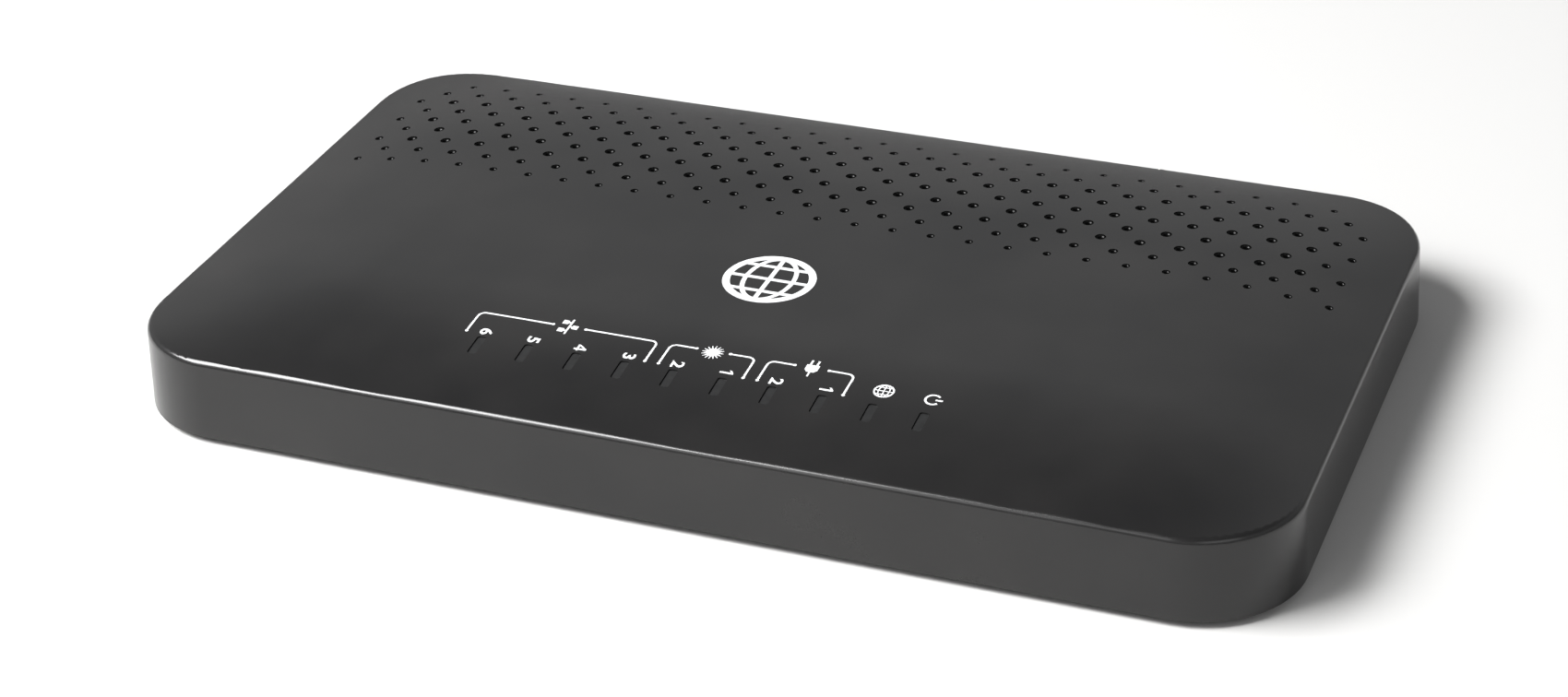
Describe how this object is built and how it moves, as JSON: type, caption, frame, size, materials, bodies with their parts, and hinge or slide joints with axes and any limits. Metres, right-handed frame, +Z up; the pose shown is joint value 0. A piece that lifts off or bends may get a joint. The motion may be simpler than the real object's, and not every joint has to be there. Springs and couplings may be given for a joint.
{
  "type": "cable modem gateway",
  "caption": "Flat black cable modem and home gateway: crowned top cover with a row of slim lamps, flat base with vents and feet, sockets and power button along the back.",
  "frame": {"origin": "on the table, under the middle of the overall width and length (case plus the cable jack's reach)", "axes": "+Z up; +X to the right as seen from the lamp side; -Y is the front with the lamps, +Y the back with the sockets"},
  "size_m": [0.2314, 0.1412, 0.0223],
  "materials": {
    "cover_black": "satin moulded ABS, softly glossy roof, fine-textured walls",
    "base_black": "matt black ABS, fine spark texture",
    "foot_rubber": "matt dark rubber",
    "screw_steel": "black-passivated steel",
    "board_green": "green solder mask over glass epoxy",
    "chip_black": "moulded chip epoxy, bare of markings",
    "led_yellow": "phosphor under clear resin",
    "divider_black": "matt black ABS",
    "guide_clear": "smoke-tinted polycarbonate, translucent",
    "socket_black": "glass-filled nylon",
    "optical_green": "green moulded plastic",
    "ceramic_white": "zirconia",
    "tin_steel": "tin-plated stamped steel",
    "gold_contact": "gold-flashed spring bronze",
    "tongue_white": "white moulded plastic",
    "nickel": "nickel-plated zinc and brass",
    "insulator_white": "white dielectric",
    "button_grey": "satin dark grey ABS",
    "plunger_white": "natural acetal",
    "pad_grey": "filled silicone",
    "sink_aluminium": "extruded, clear anodised",
    "pin_nylon": "nylon",
    "can_sleeve": "aluminium can, plain sleeve",
    "capacitor_tan": "ceramic with tinned ends"
  },
  "bodies": {
    "case": {"base_plate": "base_black", "board_screws": "screw_steel", "case_screws": "screw_steel", "chip_capacitors": "capacitor_tan", "coax_contact": "gold_contact", "coax_insulator": "insulator_white", "coax_jack": "nickel", "coax_nut": "nickel", "coax_washer": "nickel", "crystals": "tin_steel", "dc_inlet_body": "socket_black", "dc_inlet_pin": "nickel", "dc_inlet_spring": "nickel", "flash_chip": "chip_black", "guide_screws": "screw_steel", "heat_sink": "sink_aluminium", "heat_sink_pins": "pin_nylon", "lamp_divider": "divider_black", "lamp_leds": "led_yellow", "lan_socket_block": "socket_black", "lan_socket_shield": "tin_steel", "lan_socket_wires": "gold_contact", "lan_transformers": "chip_black", "light_guide": "guide_clear", "main_board": "board_green", "memory_chips": "chip_black", "optical_modules": "tin_steel", "optical_sleeves": "ceramic_white", "optical_socket_1": "optical_green", "optical_socket_2": "optical_green", "power_inductors": "chip_black", "power_switch_body": "socket_black", "processor": "chip_black", "rear_panel": "base_black", "regulators": "chip_black", "reset_switch_body": "socket_black", "rubber_feet": "foot_rubber", "shield_frame": "tin_steel", "shield_lid": "tin_steel", "storage_capacitors": "can_sleeve", "switch_chip": "chip_black", "thermal_pad": "pad_grey", "top_cover": "cover_black", "tuner_chip": "chip_black", "usb_1_shell": "tin_steel", "usb_1_tongue": "tongue_white", "usb_2_shell": "tin_steel", "usb_2_tongue": "tongue_white", "usb_contacts": "gold_contact"},
    "power_button": {"power_button": "button_grey", "power_plunger": "plunger_white"},
    "reset_button": {"reset_button": "button_grey"}
  },
  "joints": [
    {"name": "power_press", "type": "slide", "parent": "case", "child": "power_button", "axis": [0, -1, 0], "range_m": [0, 0.002], "stiffness_N_per_m": 400, "springref_m": -0.0015},
    {"name": "reset_press", "type": "slide", "parent": "case", "child": "reset_button", "axis": [0, -1, 0], "range_m": [0, 0.0003], "stiffness_N_per_m": 1500, "springref_m": -0.0003}
  ]
}
